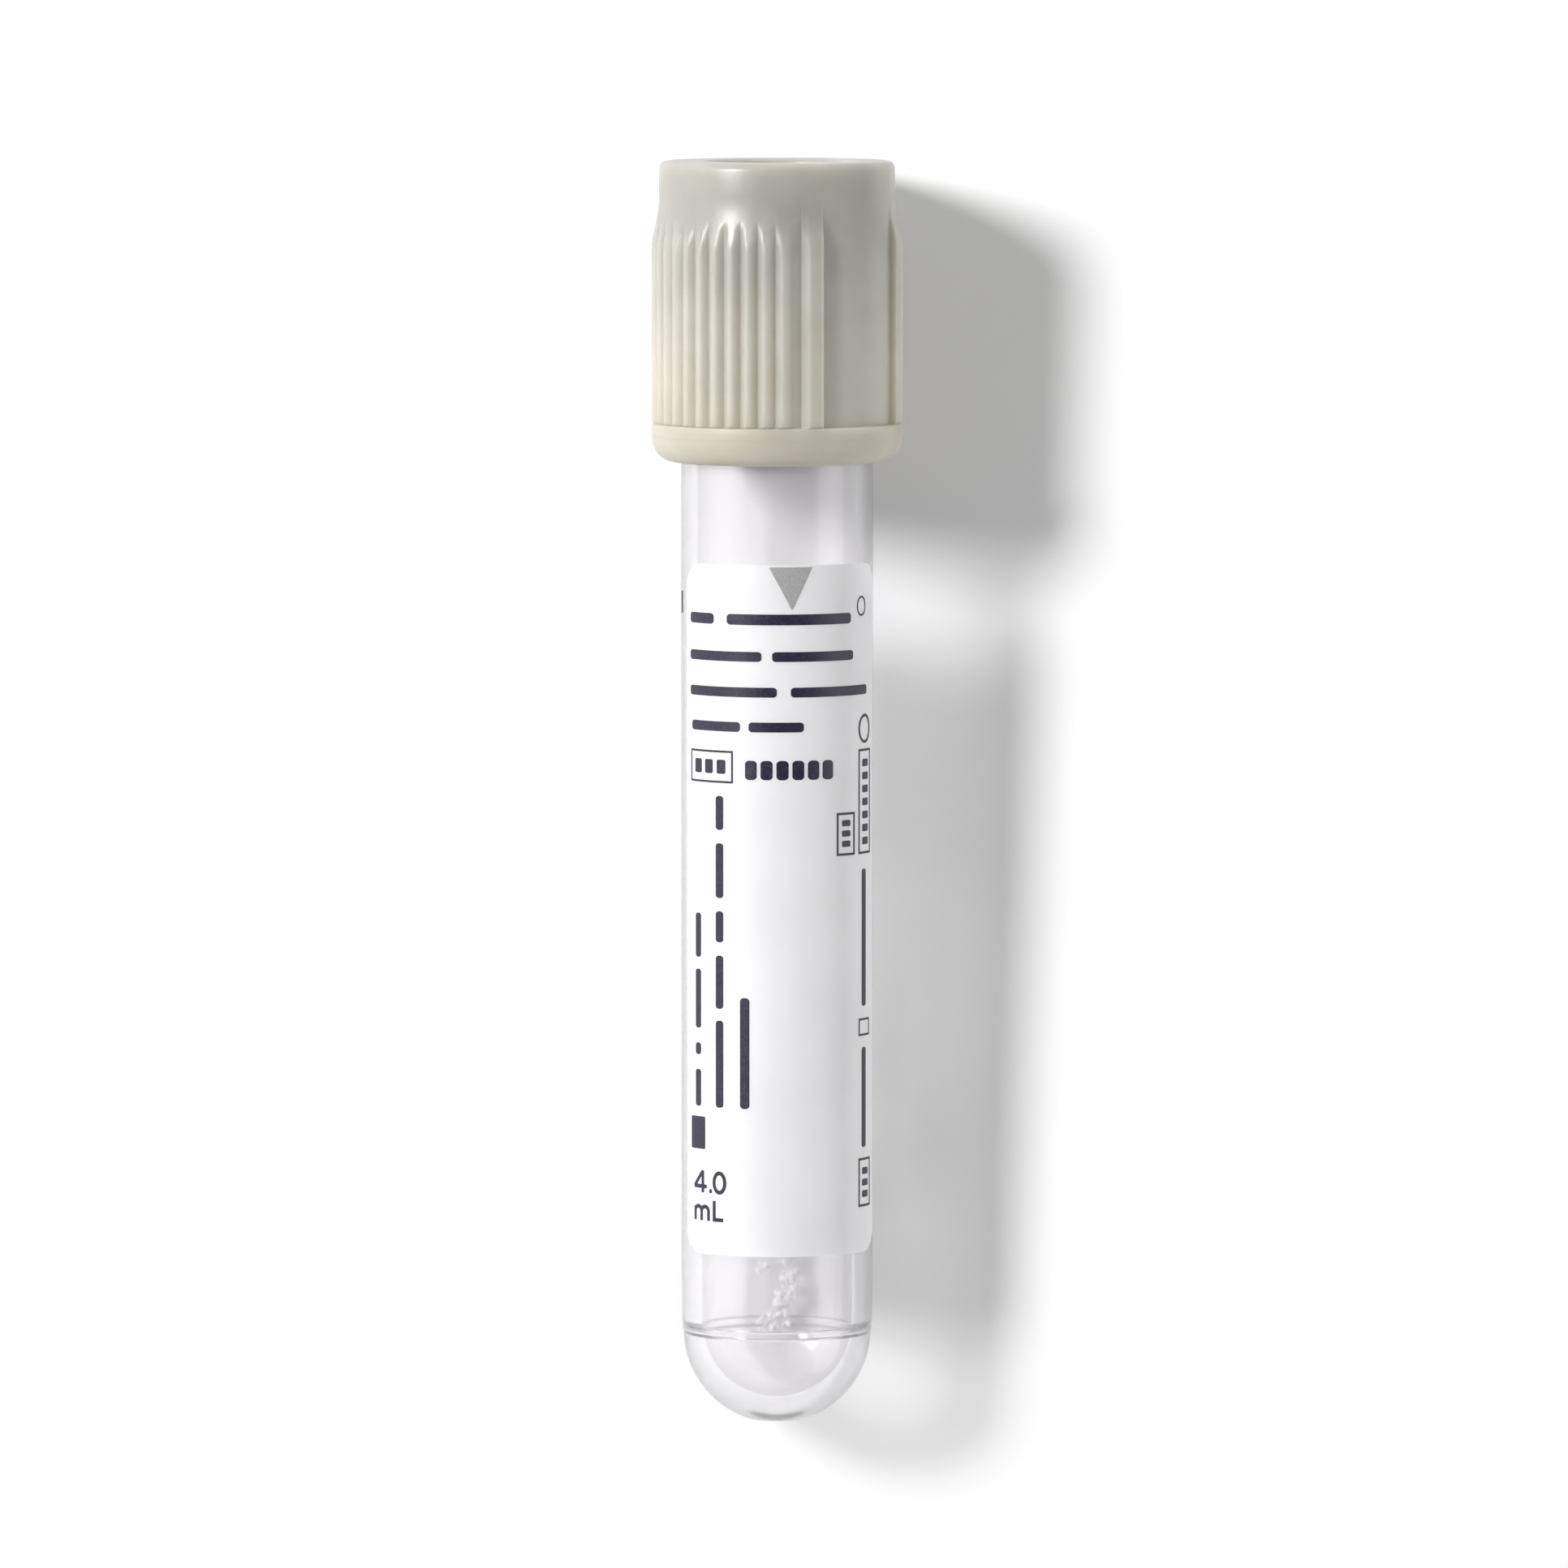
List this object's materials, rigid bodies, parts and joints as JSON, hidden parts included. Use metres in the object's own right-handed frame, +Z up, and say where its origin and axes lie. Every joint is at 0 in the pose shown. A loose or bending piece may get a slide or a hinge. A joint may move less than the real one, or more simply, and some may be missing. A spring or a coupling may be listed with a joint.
{
  "type": "blood collection tube",
  "caption": "Clear plastic blood collection tube on its side, with a ribbed pull-off closure over a rubber stopper, a paper label and a dry additive.",
  "frame": {"origin": "on the resting surface, under the middle of the tube's bounding box", "axes": "+Y along the lying tube towards the closure, +Z up through the middle of the label's printed side"},
  "size_m": [0.017, 0.0856, 0.0174],
  "materials": {
    "clear_plastic": "gloss",
    "shield_plastic": "satin",
    "stopper_rubber": "matte",
    "label_paper": "satin",
    "powder": "matte"
  },
  "bodies": {
    "tube_body": {"tube": "clear_plastic", "label": "label_paper", "additive": "powder"},
    "closure": {"shield": "shield_plastic", "stopper": "stopper_rubber"}
  },
  "joints": [
    {"name": "closure_pull", "type": "slide", "parent": "tube_body", "child": "closure", "axis": [0, 0.9994, 0.0344], "range_m": [0, 0.015]}
  ]
}
